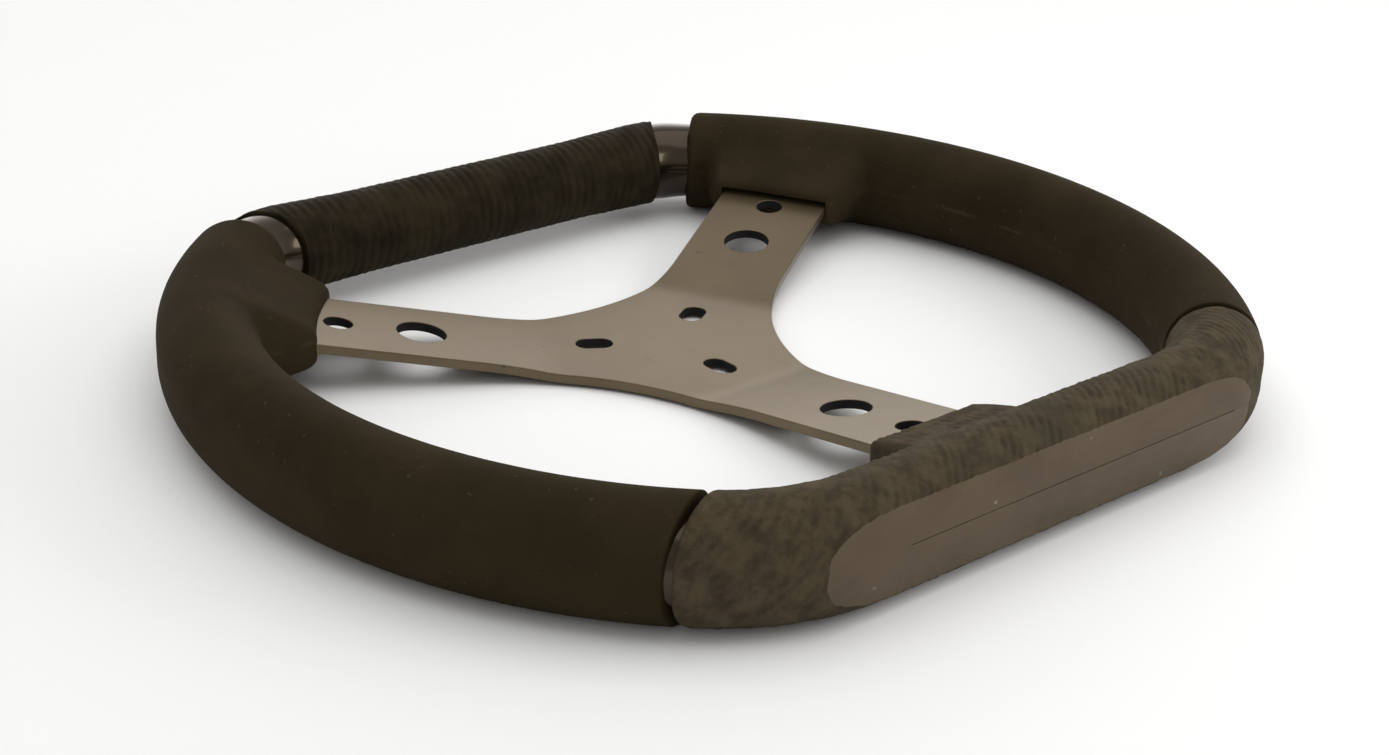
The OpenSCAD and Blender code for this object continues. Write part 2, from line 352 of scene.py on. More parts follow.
def sleeve_rubber(colour):
    """Ribbed rubber: rib tops painted lighter as a painted highlight, grooves painted darker as painted
    shade, cloudy wear round the bar.
    """
    material, net, place = new_material("sleeve_rubber", specular=0.05)
    wear = net.noise(place, 4.5 * MM, 4.0, 0.62)
    haze = net.noise(place, 20 * MM, 2.0, 0.5, 6.0)
    grain = net.noise(place, 0.8 * MM, 3.0, 0.65, 4.0)
    relief = attribute(net, "relief")
    base = net.mix(wear.ramp(0.34, 0.68), shade(colour, 0.6), shade(colour, 1.35))
    base = net.mix(haze.ramp(0.4, 0.72) * 0.45, base, (0.045, 0.036, 0.016))
    # painted highlight: the rib tops, from the stored relief, are painted lighter
    base = net.mix(relief.ramp(0.0, 1.0) * 0.25, base, shade(colour, 1.5))
    # painted shade: the grooves, from the stored relief, are painted darker
    base = net.mix(relief.ramp(0.0, -1.0) * 0.45, base, shade(colour, 0.5))
    roughness = 0.62 + grain * 0.14
    return finished(material, net, base, roughness, grain + wear * 0.5, 0.12 * MM)


def tube_paint(colour):
    """Deep gloss black with orange peel and faint dust."""
    material, net, place = new_material(
        "tube_paint", metallic=0.8, specular=0.2, coat=0.3, coat_roughness=0.05
    )
    peel = net.noise(place, 2.2 * MM, 1.0, 0.5)
    dust = net.noise(place, 5 * MM, 4.0, 0.65, 3.0)
    base = net.mix(dust.ramp(0.5, 0.8) * 0.4, colour, shade(colour, 1.5))
    return finished(material, net, base, 0.16 + dust * 0.1, peel, 0.012 * MM)


def plate_paint(colour):
    """Satin paint with a fine orange peel, rubbed streaks and a few marks."""
    material, net, place = new_material("plate_paint", metallic=0.6, specular=0.4)
    peel = net.noise(place, 1.1 * MM, 2.0, 0.55)
    cloud = net.noise(place, 22 * MM, 4.0, 0.6, 2.0)
    drawn = net.wire("ShaderNodeMapping", 0, None, {"Vector": place, "Scale": (1.0, 0.15, 1.0)})
    streak = net.noise(drawn, 1.6 * MM, 3.0, 0.6, 5.0)
    mark = net.noise(place, 2.4 * MM, 1.0, 0.5, 8.0).ramp(0.74, 0.79)
    base = net.mix(cloud.ramp(0.3, 0.7), shade(colour, 0.9), shade(colour, 1.1))
    base = net.mix(streak.ramp(0.55, 0.8) * 0.18, base, shade(colour, 0.7))
    base = net.mix(mark * 0.6, base, (0.03, 0.018, 0.012))
    roughness = 0.24 + cloud * 0.08 + streak * 0.05
    return finished(material, net, base, roughness, peel, 0.012 * MM)


def plate_cut_painted_shade():
    """Walls of the holes and slots, painted nearly black as painted shade, with a faint mottle."""
    material, net, place = new_material("plate_cut_painted_shade", specular=0.15)
    mottle = net.noise(place, 1.5 * MM, 3.0, 0.6)
    # painted shade: the walls are mixed between two near-black colours
    base = net.mix(mottle, (0.006, 0.006, 0.009), (0.02, 0.018, 0.017))
    return finished(material, net, base, 0.6 + mottle * 0.2, mottle, 0.05 * MM)


def weld_paint(colour):
    """Painted weld bead with its ripples."""
    material, net, place = new_material("weld_paint", coat=0.4, coat_roughness=0.2)
    ripple = net.noise(place, 1.3 * MM, 3.0, 0.6)
    mottle = net.noise(place, 5 * MM, 3.0, 0.6, 4.0)
    base = net.mix(mottle.ramp(0.35, 0.7), shade(colour, 0.7), shade(colour, 1.8))
    return finished(material, net, base, 0.38 + mottle * 0.2, ripple, 0.25 * MM)


def floor_paper(colour):
    """Pale seamless paper."""
    material, net, place = new_material("floor_paper", specular=0.1)
    fibre = net.noise(place, 3 * MM, 3.0, 0.6)
    base = net.mix(fibre, shade(colour, 0.985), colour)
    return finished(material, net, base, 0.8, fibre, 0.02 * MM)


# ---- centre line of the rim ----


class Rim:
    """The tube's centre line. A place on it is s, metres clockwise from the middle of the top bar."""

    def __init__(self, scene):
        rim, grip = scene.wheel_rim, scene.wheel_grip
        self.rim, self.grip, self.plate = rim, grip, scene.wheel_plate
        self.arc = (rim.arc_x, -rim.arc_y)
        self.side_r = RIM_WIDTH / 2 - rim.arc_x - grip.width / 2
        top_y = rim.top_y - rim.top_bend
        low_y = rim.low_bend - rim.bottom_y
        self.top = (self.arc_meets(top_y, rim.top_bend), top_y)
        self.low = (self.arc_meets(low_y, rim.low_bend), low_y)
        self.a_top = math.atan2(top_y - self.arc[1], self.top[0] - self.arc[0])
        self.a_low = math.atan2(low_y - self.arc[1], self.low[0] - self.arc[0])
        lengths = [
            self.top[0],
            rim.top_bend * (math.pi / 2 - self.a_top),
            self.side_r * (self.a_top - self.a_low),
            rim.low_bend * (self.a_low + math.pi / 2),
            self.low[0],
        ]
        self.ends = np.cumsum(lengths)
        self.half = self.ends[-1]

    def arc_meets(self, y, bend):
        """X of the centre of a bend that joins the side arc smoothly."""
        return self.arc[0] + math.sqrt((self.side_r - bend) ** 2 - (y - self.arc[1]) ** 2)

    def at(self, s):
        """Point and outward direction on the centre line, for an array of places."""
        s = (np.asarray(s, float) + self.half) % (2 * self.half) - self.half
        side = np.where(s < 0, -1.0, 1.0)
        d = np.abs(s)
        run = np.searchsorted(self.ends, d).clip(0, 4)
        starts = np.concatenate([[0.0], self.ends[:-1]])
        start_angle = np.array([math.pi / 2, math.pi / 2, self.a_top, self.a_low, -math.pi / 2])
        radius = np.array([1.0, self.rim.top_bend, self.side_r, self.rim.low_bend, 1.0])
        centre_x = np.array([0.0, self.top[0], self.arc[0], self.low[0], 0.0])
        centre_y = np.array([0.0, self.top[1], self.arc[1], self.low[1], 0.0])
        past = d - starts[run]
        angle = start_angle[run] - np.where((run > 0) & (run < 4), past / radius[run], 0.0)
        nx, ny = np.cos(angle), np.sin(angle)
        x = centre_x[run] + radius[run] * nx
        y = centre_y[run] + radius[run] * ny
        x = np.where(run == 0, d, np.where(run == 4, self.low[0] - past, x))
        y = np.where(run == 0, self.rim.top_y, np.where(run == 4, -self.rim.bottom_y, y))
        return side * x, y, side * nx, ny

    def spoke(self, which):
        """Direction of a spoke, how far it reaches, and the place on the centre line that it meets."""
        angle = -math.pi / 2 + {"left": -1, "right": 1, "bottom": 0}[which] * self.plate.spoke_angle
        d = (math.cos(angle), math.sin(angle))
        if which == "bottom":
            return d, self.rim.bottom_y, self.half
        right = (abs(d[0]), d[1])
        along = self.arc[0] * right[0] + self.arc[1] * right[1]
        reach = along + math.sqrt(along**2 - self.arc[0] ** 2 - self.arc[1] ** 2 + self.side_r**2)
        meets = math.atan2(reach * right[1] - self.arc[1], reach * right[0] - self.arc[0])
        s = self.ends[1] + self.side_r * (self.a_top - meets)
        return d, reach, s if which == "right" else -s

    def slope(self, reach):
        """Rise of a spoke per metre outwards from its bend."""
        run = reach - self.rim.tube_radius - self.plate.bend
        return (RIM_Z - HUB_SEAT_Z - self.plate.thickness / 2) / run


# ---- sections ----


def tube_section(rim, s, theta, extra=0.0):
    """Radius of the tube, taller than wide where the two upper bends were drawn round."""
    middle = (rim.ends[0] + rim.ends[1]) / 2
    rise = rim.rim.bulge * np.exp(-(((np.abs(s) - middle) / (9 * MM)) ** 2))
    wide = rim.rim.tube_radius + extra
    return 1 / np.sqrt((np.cos(theta) / wide) ** 2 + (np.sin(theta) / (wide + rise)) ** 2)


def off_mould_line(radius, theta):
    """Distance from the mould line along the rim's inner side; 1 m on the outer side."""
    return np.where(np.cos(theta) < 0, np.abs(radius * np.sin(theta)), 1.0)


def oval_section(width, height, theta):
    """Radius of an oval made of two half circles and two short flats."""
    r, k = width / 2, (height - width) / 2
    c, z = np.cos(theta), k * np.sign(np.sin(theta))
    ends = z * np.sin(theta) + np.sqrt(np.maximum(r**2 - (k * c) ** 2, 0))
    sides = r / np.maximum(np.abs(c), 1e-9)
    return np.where(np.abs(sides * np.sin(theta)) <= k, sides, ends)


def soft_max(a, b, k):
    """The larger of two values, with a fillet of about k where they are equal."""
    h = np.maximum(k - np.abs(a - b), 0) / k
    return np.maximum(a, b) + h * h * k / 4


def soft_min(values, k):
    """The smallest of several values, rounded where they are equal."""
    return -k * np.log(sum(np.exp(-v / k) for v in values))


def smooth_share(t):
    """0 below 0, 1 above 1, smooth between them."""
    t = np.clip(t, 0, 1)
    return t * t * (3 - 2 * t)


def ray_to(gap, run):
    """Distance along a ray to a plane that is gap away and comes run nearer per metre."""
    return np.where(run > 1e-6, gap / np.maximum(run, 1e-6), 200 * MM)


def turned(x, y, d):
    """Coordinates along a direction and to the left of it."""
    return x * d[0] + y * d[1], y * d[0] - x * d[1]


def boss_section(rim, which, s, theta):
    """Radius of the boss over a spoke end as seen from the centre line, and its share from 0 to 1."""
    boss = BOSSES[which]
    d, reach, _ = rim.spoke(which)
    grip, plate = rim.grip, rim.plate
    half = grip.boss_width / 2
    x, y, nx, ny = rim.at(s)
    out, sway = turned(nx, ny, d)
    along, across = turned(x, y, d)
    inside = 18 * MM  # its sides are measured this far inside the centre line
    side = across - inside * sway
    soft = np.where(side < 0, boss.fall_before, boss.fall_after)
    c, z = np.cos(theta), np.sin(theta)
    face = grip.boss_at + boss.hollow * (1 - (side / half) ** 2) + boss.lean * side
    run = out * c
    inner = ray_to(along - face, -run)
    side_z = GRIP_HEIGHT / 2 - 2.2 * MM
    crown = side_z - boss.sunk
    drop = 8 * MM  # depth of the underside at the inner face
    slant = reach - 6 * MM - grip.boss_at
    mouth_top = plate.thickness + (grip.boss_at - plate.bend) * rim.slope(reach) + boss.lip - RIM_Z
    rise_top = (crown - mouth_top) / slant
    rise_low = (drop - side_z) / slant
    past = along - grip.boss_at
    top = ray_to(mouth_top + rise_top * past, z - rise_top * run)
    low = ray_to(drop - rise_low * past, rise_low * run - z)
    ceiling = (GRIP_HEIGHT / 2 - 0.5 * MM) / np.maximum(np.abs(z), 0.05)
    share = smooth_share((half + 0.7 * soft - np.abs(side)) / soft)
    round_edge = boss.edge + 8 * MM * (1 - share)
    radius = soft_min([np.abs(inner), np.abs(top), np.abs(low), ceiling], round_edge)
    return radius, share * smooth_share((0.1 - c) / 0.4)


# ---- swept shells ----


def near_end(distance, reach=30 * MM):
    """1 at an end, falling smoothly to 0 at the reach."""
    return smooth_share(1 - distance / reach)


def end_rows(s, radius, inwards):
    """Places and insets of the rounded edge at an end; inwards is +1 at the start and -1 at the end."""
    angles = np.linspace(0, math.pi / 2, 5)
    rows = [(s + inwards * radius * (1 - math.cos(a)), radius * (1 - math.sin(a))) for a in angles]
    return rows if inwards > 0 else rows[::-1]


def spaced(start, end, fine, coarse, dense):
    """Places from start to end: fine steps inside the dense stretches, coarse steps elsewhere."""
    places, s = [start], start
    while s < end:
        s += fine if any(a < s < b for a, b in dense) else coarse
        places.append(s)
    return np.array(places)


def shell(name, rim, start, end, outer, bore, edge, shear, steps, around):
    """A sleeve round the tube: skin outside, bore inside, rounded edges. Closed, faces outwards.

    outer and bore give the radius for arrays of s and theta, edge the rounding at each end. shear
    gives how far a place moves along the tube for each metre outwards, which turns the ends. steps
    are the fine step, the coarse step and the dense stretches.
    """
    fine, coarse, dense = steps
    body = spaced(start + edge[0], end - edge[1], fine, coarse, dense)[1:-1]
    body = body[body < end - edge[1] - fine / 3]
    skin = end_rows(start, edge[0], 1) + [(s, 0.0) for s in body] + end_rows(end, edge[1], -1)
    back = spaced(start, end, 2.5 * MM, 2.5 * MM, [])[1:-1]
    back = back[(back > start + 1 * MM) & (back < end - 1 * MM)][::-1]
    rows = [(start, None)] + skin + [(end, None)] + [(s, None) for s in back]
    theta = np.linspace(0, 2 * math.pi, around, endpoint=False)[None, :]
    s = np.array([r[0] for r in rows])[:, None] + 0 * theta
    is_skin = np.array([r[1] is not None for r in rows])[:, None] & np.ones_like(s, bool)
    inset = np.array([r[1] or 0.0 for r in rows])[:, None]
    theta = theta + 0 * s
    radius = np.where(is_skin, outer(s, theta) - inset, bore(s, theta))
    out = radius * np.cos(theta)
    if shear is not None:
        s = s + out * shear(s)
    x, y, nx, ny = rim.at(s)
    points = np.stack([x + out * nx, y + out * ny, RIM_Z + radius * np.sin(theta)], -1)
    count, width = s.shape
    index = np.arange(count * width).reshape(count, width)
    nxt, up = np.roll(index, -1, 0), np.roll(index, -1, 1)
    faces = np.stack([index, up, np.roll(up, -1, 0), nxt], -1).reshape(-1, 4)
    mesh = bpy.data.meshes.new(name)
    mesh.from_pydata(points.reshape(-1, 3).tolist(), [], faces.tolist())
    store(mesh, "along", s)
    store(mesh, "around", theta * rim.grip.width / 2)
    store(mesh, "inner", off_mould_line(radius, theta))
    store(mesh, "skin", is_skin * np.clip(1 - inset / (0.6 * MM), 0, 1))
    return mesh


def store(mesh, name, values):
    """Stores one number per point."""
    layer = mesh.attributes.new(name, "FLOAT", "POINT")
    layer.data.foreach_set("value", np.asarray(values, np.float32).ravel())


def press_flat(mesh, outer, bore):
    """Moves every point beyond a plane onto it: one plane for the skin and one for the bore."""
    co = np.zeros(len(mesh.vertices) * 3, np.float32)
    mesh.vertices.foreach_get("co", co)
    co = co.reshape(-1, 3)
    skin = np.zeros(len(mesh.vertices), np.float32)
    mesh.attributes["skin"].data.foreach_get("value", skin)
    co[:, 1] = np.maximum(co[:, 1], np.where(skin > 0.01, outer, bore))
    mesh.vertices.foreach_set("co", co.ravel())
    mesh.update()


# ---- pieces ----


def new_object(name, data):
    """An object at the origin, linked to the scene."""
    obj = bpy.data.objects.new(name, data)
    bpy.context.scene.collection.objects.link(obj)
    return obj


def piece(name, mesh, *materials):
    """A mesh object with its materials."""
    for material in materials:
        mesh.materials.append(material)
    return new_object(name, mesh)


def plain_mesh(obj):
    """What an object's modifiers or curve settings make, as plain mesh."""
    bpy.context.view_layer.update()
    return bpy.data.meshes.new_from_object(obj.evaluated_get(bpy.context.evaluated_depsgraph_get()))


def settle(obj):
    """Turns an object's modifiers into plain mesh."""
    mesh = plain_mesh(obj)
    obj.modifiers.clear()
    obj.data = mesh
    mesh.name = obj.name


def cut(obj, cutter):
    """Takes a closed mesh away from a piece."""
    tool = new_object("cutter", cutter)
    modifier = obj.modifiers.new("cut", "BOOLEAN")
    modifier.operation = "DIFFERENCE"
    modifier.solver = "MANIFOLD"
    modifier.object = tool
    settle(obj)
    bpy.data.objects.remove(tool)


def block(low, high, matrix):
    """A closed box from low to high, placed by a matrix."""
    bm = bmesh.new()
    bmesh.ops.create_cube(bm, size=1)
    low, high = Vector(low), Vector(high)
    for v in bm.verts:
        v.co = matrix @ Vector((v.co[i] + 0.5) * (high[i] - low[i]) + low[i] for i in range(3))
    mesh = bpy.data.meshes.new("block")
    bm.to_mesh(mesh)
    bm.free()
    return mesh


def smooth(obj, degrees):
    """Smooth shading, with the edges sharper than the angle kept crisp."""
    mesh = obj.data
    mesh.polygons.foreach_set("use_smooth", [True] * len(mesh.polygons))
    mesh.set_sharp_from_angle(angle=math.radians(degrees))
    mesh.update()


def relief_tree():
    """Geometry nodes that raise slanted ridges and grain on a skin, along its normals."""
    tree = bpy.data.node_groups.new("Moulded relief", "GeometryNodeTree")
    names = ["Pitch", "Slant", "Height", "Breakup", "GrainSize", "GrainHeight", "Seed"]
    kinds = {"Geometry": "Geometry", **dict.fromkeys(names, "Float"), "Material": "Material"}
    for name, kind in kinds.items():
        tree.interface.new_socket(name, in_out="INPUT", socket_type="NodeSocket" + kind)
    tree.interface.new_socket("Geometry", in_out="OUTPUT", socket_type="NodeSocketGeometry")
    net = Net(tree)
    given = net.add("NodeGroupInput")
    pitch, slant, height, breaks, size, rise, seed = (Wire(net, given.outputs[n]) for n in names)
    stored = {
        n: net.wire("GeometryNodeInputNamedAttribute", "Attribute", {"data_type": "FLOAT"}, {"Name": n})
        for n in ("along", "around", "skin")
    }
    place = net.wire("GeometryNodeInputPosition", 0)
    slow = net.noise(place, 7 * MM, 2.0, 0.5, seed)
    grain = net.noise(place, size, 3.0, 0.5, seed + 3.0)
    wander = (slow - 0.5) * breaks * 3.2 * MM
    phase = (stored["along"] + stored["around"] * slant + wander) / pitch
    ridge = (phase * (2 * math.pi)).sine()
    strength = 1.0 - breaks * (1.0 - slow.ramp(0.42, 0.6))
    relief = ridge * strength
    lift = (relief * height + (grain - 0.5) * rise) * stored["skin"]
    skin, shown = Wire(net, given.outputs["Geometry"]), relief * stored["skin"]
    # the stored relief is what the shaders use to paint a painted highlight on ridges and painted shade in
    # grooves
    keep = net.wire(
        "GeometryNodeStoreNamedAttribute", "Geometry", {"data_type": "FLOAT", "domain": "POINT"},
        {"Geometry": skin, "Name": "relief", "Value": shown},
    )
    normal = net.wire("GeometryNodeInputNormal", 0)
    offset = net.wire("ShaderNodeVectorMath", 0, {"operation": "SCALE"}, {0: normal, "Scale": lift})
    moved = net.wire("GeometryNodeSetPosition", 0, None, {"Geometry": keep, "Offset": offset})
    whole = net.wire("GeometryNodeRealizeInstances", 0, None, {"Geometry": moved})
    painted = net.wire(
        "GeometryNodeSetMaterial", 0, None,
        {"Geometry": whole, "Material": Wire(net, given.outputs["Material"])},
    )
    net.feed(net.add("NodeGroupOutput").inputs[0], painted)
    return tree


def raise_relief(obj, material, **inputs):
    """Runs the relief on a piece and keeps the result as plain mesh."""
    modifier = obj.modifiers.new("relief", "NODES")
    modifier.node_group = bpy.data.node_groups.get("Moulded relief") or relief_tree()
    values = dict(inputs, Material=material)
    for item in modifier.node_group.interface.items_tree:
        if item.in_out == "INPUT" and item.name in values:
            modifier[item.identifier] = values[item.name]
    settle(obj)


def grip_bore(rim):
    """Radius function of a grip's bore: a hair wider than the tube."""
    return lambda s, theta: tube_section(rim, s, theta, BORE_GAP)


def grip_skin(rim, which):
    """Radius function of a grip: the oval, blended into the boss over its spoke end."""
    meets = rim.spoke(which)[2]

    def radius(s, theta):
        oval = oval_section(rim.grip.width, GRIP_HEIGHT, theta)
        boss, share = boss_section(rim, which, s, theta)
        offset = (s - meets + rim.half) % (2 * rim.half) - rim.half
        near = np.abs(offset) < rim.grip.boss_width
        under = oval - 5 * MM
        raised = soft_max(oval, under + (boss - under) * share, 2.4 * MM)
        ridge = 0.12 * MM * np.exp(-((off_mould_line(oval, theta) / (0.45 * MM)) ** 2))
        return np.where(near & (share > 0), raised, oval) + ridge * (1 - share)

    return radius


def pocket(rim, which, over):
    """The space in a boss for the spoke's end and its welds."""
    d, reach, _ = rim.spoke(which)
    plate = rim.plate
    slope = math.atan(rim.slope(reach))
    angle = math.atan2(d[1], d[0])
    place = (
        Matrix.Rotation(angle, 4, "Z")
        @ Matrix.Translation((plate.bend, 0, HUB_SEAT_Z))
        @ Matrix.Rotation(-slope, 4, "Y")
    )
    half = plate.spoke_width / 2 + POCKET_GAP
    start = 45 * MM
    axis = (reach - plate.bend) / math.cos(slope)
    depth = rim.grip.boss_at - plate.bend + 13 * MM
    bead_room = 2.9 * MM
    spaces = (
        (start, axis - 12 * MM, -POCKET_GAP, POCKET_GAP),
        (start, depth, -POCKET_GAP, over),
        (axis - 17 * MM, axis - 11 * MM, -bead_room, bead_room),
    )
    return [
        block((near, -half, low), (far, half, plate.thickness + high), place)
        for near, far, low, high in spaces
    ]


def side_grip(rim, which, mouth_gap, material):
    """A side grip: swept skin with its boss, fine relief, and the pocket for the spoke."""
    start, end = rim.ends[1], rim.ends[2] - rim.grip.seam / 2
    meets = rim.spoke("right")[2]
    half = rim.grip.boss_width / 2 + 6 * MM
    dense = [(meets - half, meets + half)]
    sign = 1 if which == "right" else -1
    first, last = start, end
    upper = sign * math.tan(rim.grip.end_turn)
    lower = math.tan(rim.grip.seam_turn) if which == "left" else 0.0

    def shear(s):
        return upper * near_end(np.abs(s) - first) + lower * near_end(last - np.abs(s))

    edges = (2.6 * MM, 0.5 * MM)
    if which == "left":
        start, end, edges = -end, -start, edges[::-1]
        dense = [(-dense[0][1], -dense[0][0])]
    mesh = shell(
        which + "_hand_grip", rim, start, end, grip_skin(rim, which), grip_bore(rim),
        edges, shear, (0.5 * MM, 1.1 * MM, dense), 224,
    )
    obj = piece(which + "_hand_grip", mesh, material)
    raise_relief(
        obj, material, Pitch=7 * MM, Slant=0.0, Height=0.0, Seed=2.0 + sign,
        Breakup=1.0, GrainSize=5 * MM, GrainHeight=0.12 * MM,
    )
    for tool in pocket(rim, which, mouth_gap):
        cut(obj, tool)
    smooth(obj, 42)
    return obj


class WheelStep(bpy.types.Operator):
    """Shared ways of a build step."""

    bl_options = {"REGISTER", "UNDO"}

    def finish(self, obj, slot, node):
        """The finished piece rides on the wheel and stands for its CAD node; the slot argument is not
        used.
        """
        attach(obj, "root")
        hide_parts(node)
        return {"FINISHED"}


class WHEEL_OT_tube(WheelStep):
    """Build the ring tube, hollow, with a welded joint in the bottom bar"""

    bl_idname = "wheel.tube"
    bl_label = "Ring Tube"

    def execute(self, context):
        rim = Rim(context.scene)
        gap = rim.rim.butt_gap / 2
        wall = rim.rim.tube_wall
        mesh = shell(
            "ring_of_tube", rim, -rim.half + gap, rim.half - gap,
            lambda s, theta: tube_section(rim, s, theta),
            lambda s, theta: tube_section(rim, s, theta, -wall),
            (0.05 * MM, 0.05 * MM), None, (1.5 * MM, 2.2 * MM, [(60 * MM, 110 * MM)]), 96,
        )
        flat = FLAT_Y + FLAT_SKIN
        press_flat(mesh, flat, flat + wall)
        obj = piece("ring_of_tube", mesh, tube_paint(context.scene.wheel_finish.tube))
        smooth(obj, 40)
        return self.finish(obj, "tube_paint", "ring_tube")


class WHEEL_OT_side_grips(WheelStep):
    """Build the two smooth foam grips with their moulded bosses"""

    bl_idname = "wheel.side_grips"
    bl_label = "Side Grips"

    def execute(self, context):
        rim = Rim(context.scene)
        material = foam_smooth(context.scene.wheel_finish.foam)
        for which, mouth_gap in (("left", POCKET_GAP), ("right", rim.grip.mouth)):
            obj = side_grip(rim, which, mouth_gap, material)
            self.finish(obj, "foam_smooth", which + "_grip")
        return {"FINISHED"}


class WHEEL_OT_bottom_grip(WheelStep):
    """Build the textured foam grip with its flat"""

    bl_idname = "wheel.bottom_grip"
    bl_label = "Bottom Grip"

    def execute(self, context):
        rim = Rim(context.scene)
        finishes = context.scene.wheel_finish
        textured, flat = foam_textured(finishes.twill), foam_flat(finishes.flat)
        start = rim.ends[2] + rim.grip.seam / 2
        end = 2 * rim.half - start

        def shear(s):
            return math.tan(rim.grip.seam_turn) * near_end(end - s)

        mesh = shell(
            "bottom_hand_grip", rim, start, end, grip_skin(rim, "bottom"),
            grip_bore(rim), (2 * MM, 2 * MM), shear, (0.6 * MM, 0.6 * MM, []), 184,
        )
        untouched = FLAT_Y - 1.0
        press_flat(mesh, untouched, FLAT_Y + FLAT_SKIN - BORE_GAP)
        obj = piece("bottom_hand_grip", mesh, textured, flat)
        raise_relief(
            obj, textured, Pitch=rim.grip.twill_pitch, Slant=0.75, Height=rim.grip.twill_height, Seed=1.0,
            Breakup=0.9, GrainSize=2.4 * MM, GrainHeight=0.7 * MM,
        )
        for tool in pocket(rim, "bottom", POCKET_GAP):
            cut(obj, tool)
        upright = Matrix.Identity(4)
        cut(obj, block((-0.2, FLAT_Y - 0.05, -0.05), (0.2, FLAT_Y, 0.08), upright))
        half_groove, depth = 0.11 * MM, 0.2 * MM
        low = (-56 * MM, FLAT_Y - 1 * MM, RIM_Z - half_groove)
        high = (78 * MM, FLAT_Y + depth, RIM_Z + half_groove)
        cut(obj, block(low, high, upright))
        for face in obj.data.polygons:
            if face.normal.y < -0.99 and face.center.y < FLAT_Y + 0.01 * MM:
                face.material_index = 1
        smooth(obj, 48)
        self.finish(obj, "foam_textured", "bottom_grip")
        return {"FINISHED"}


class WHEEL_OT_sleeve(WheelStep):
    """Build the ribbed rubber sleeve of the top bar"""

    bl_idname = "wheel.sleeve"
    bl_label = "Top Sleeve"

    def execute(self, context):
        rim = Rim(context.scene)
        grip = rim.grip
        material = sleeve_rubber(context.scene.wheel_finish.sleeve)
        past = math.asin((grip.sleeve_reach - rim.top[0]) / rim.rim.top_bend)
        end = rim.ends[0] + rim.rim.top_bend * past
        flare = 34 * MM

        def outer(s, theta):
            share = np.clip((np.abs(s) - rim.ends[0] + flare) / flare, 0, 1) ** 1.4
            radius = grip.sleeve_radius + (grip.sleeve_end - grip.sleeve_radius) * share
            return np.maximum(radius, tube_section(rim, s, theta, 0.8 * MM))

        def shear(s):
            return np.sign(s) * math.tan(grip.sleeve_turn) * near_end(end - np.abs(s), 26 * MM)

        mesh = shell(
            "ribbed_sleeve", rim, -end, end, outer, grip_bore(rim), (0.9 * MM, 0.9 * MM), shear,
            (0.45 * MM, 0.45 * MM, []), 176,
        )
        obj = piece("ribbed_sleeve", mesh, material)
        raise_relief(
            obj, material, Pitch=grip.rib_pitch, Slant=0.0, Height=grip.rib_height, Seed=5.0,
            Breakup=0.6, GrainSize=2.2 * MM, GrainHeight=0.4 * MM,
        )
        smooth(obj, 48)
        return self.finish(obj, "sleeve_rubber", "top_sleeve")


def ring_of(count, radius, centre, stretch, angle):
    """Points round a circle, or round a slot when its ends are stretched apart along an angle."""
    points = []
    for k in range(count):
        a = 2 * math.pi * (k + 0.5) / count
        x = radius * math.cos(a) + math.copysign(stretch, math.cos(a))
        y = radius * math.sin(a)
        points.append((centre[0] + x * math.cos(angle) - y * math.sin(angle),
                       centre[1] + x * math.sin(angle) + y * math.cos(angle)))
    return points


def plate_outline(rim):
    """Corners and curves of the plate as seen from the driver's side."""
    plate = rim.plate
    half = plate.spoke_width / 2
    order = ["bottom", "right", "left"]
    outline = []
    for k, which in enumerate(order):
        d, reach, _ = rim.spoke(which)
        angle = math.atan2(d[1], d[0])
        end = reach - rim.rim.tube_radius - 0.2 * MM
        for side in (-1, 1):
            outline.append((end * d[0] - side * half * d[1], end * d[1] + side * half * d[0]))
        following = rim.spoke(order[(k + 1) % 3])[0]
        opening = (math.atan2(following[1], following[0]) - angle) % (2 * math.pi) / 2
        middle = angle + opening
        from_hub = (half + plate.web_radius) / math.sin(opening)
        spread = math.pi / 2 - opening
        for t in np.linspace(spread, -spread, 49):
            a = middle + math.pi + t
            outline.append((from_hub * math.cos(middle) + plate.web_radius * math.cos(a),
                            from_hub * math.sin(middle) + plate.web_radius * math.sin(a)))
    return outline


def plate_holes(rim):
    """Centre, half length, stretch and angle of every hole and slot of the plate."""
    plate = rim.plate
    holes = []
    for which in SPOKES:
        d = rim.spoke(which)[0]
        for at, radius in ((plate.big_hole_at, plate.big_hole), (plate.small_hole_at, plate.small_hole)):
            holes.append((d[0] * at, d[1] * at, radius, 0.0, 0.0))
    for degrees in (30, 150, 270):
        angle = math.radians(degrees)
        x, y = plate.slot_circle * math.cos(angle), plate.slot_circle * math.sin(angle)
        stretch = (plate.slot_length - plate.slot_width) / 2
        holes.append((x, y, plate.slot_length / 2, stretch, angle))
    return holes


def plate_blank(rim):
    """The flat plate with its holes and slots and softened edges."""
    plate = rim.plate
    loops = [plate_outline(rim)]
    for x, y, reach, stretch, angle in plate_holes(rim):
        loops.append(ring_of(64, reach - stretch, (x, y), stretch, angle))
    curve = bpy.data.curves.new("plate_blank", "CURVE")
    curve.dimensions = "2D"
    curve.fill_mode = "BOTH"
    curve.extrude = plate.thickness / 2 - plate.edge
    curve.bevel_depth = plate.edge
    curve.bevel_resolution = 2
    curve.offset = -plate.edge
    for loop in loops:
        spline = curve.splines.new("POLY")
        spline.points.add(len(loop) - 1)
        for point, (x, y) in zip(spline.points, loop):
            point.co = (x, y, 0, 1)
        spline.use_cyclic_u = True
    holder = new_object("plate_blank", curve)
    mesh = plain_mesh(holder)
    bpy.data.objects.remove(holder)
    return mesh


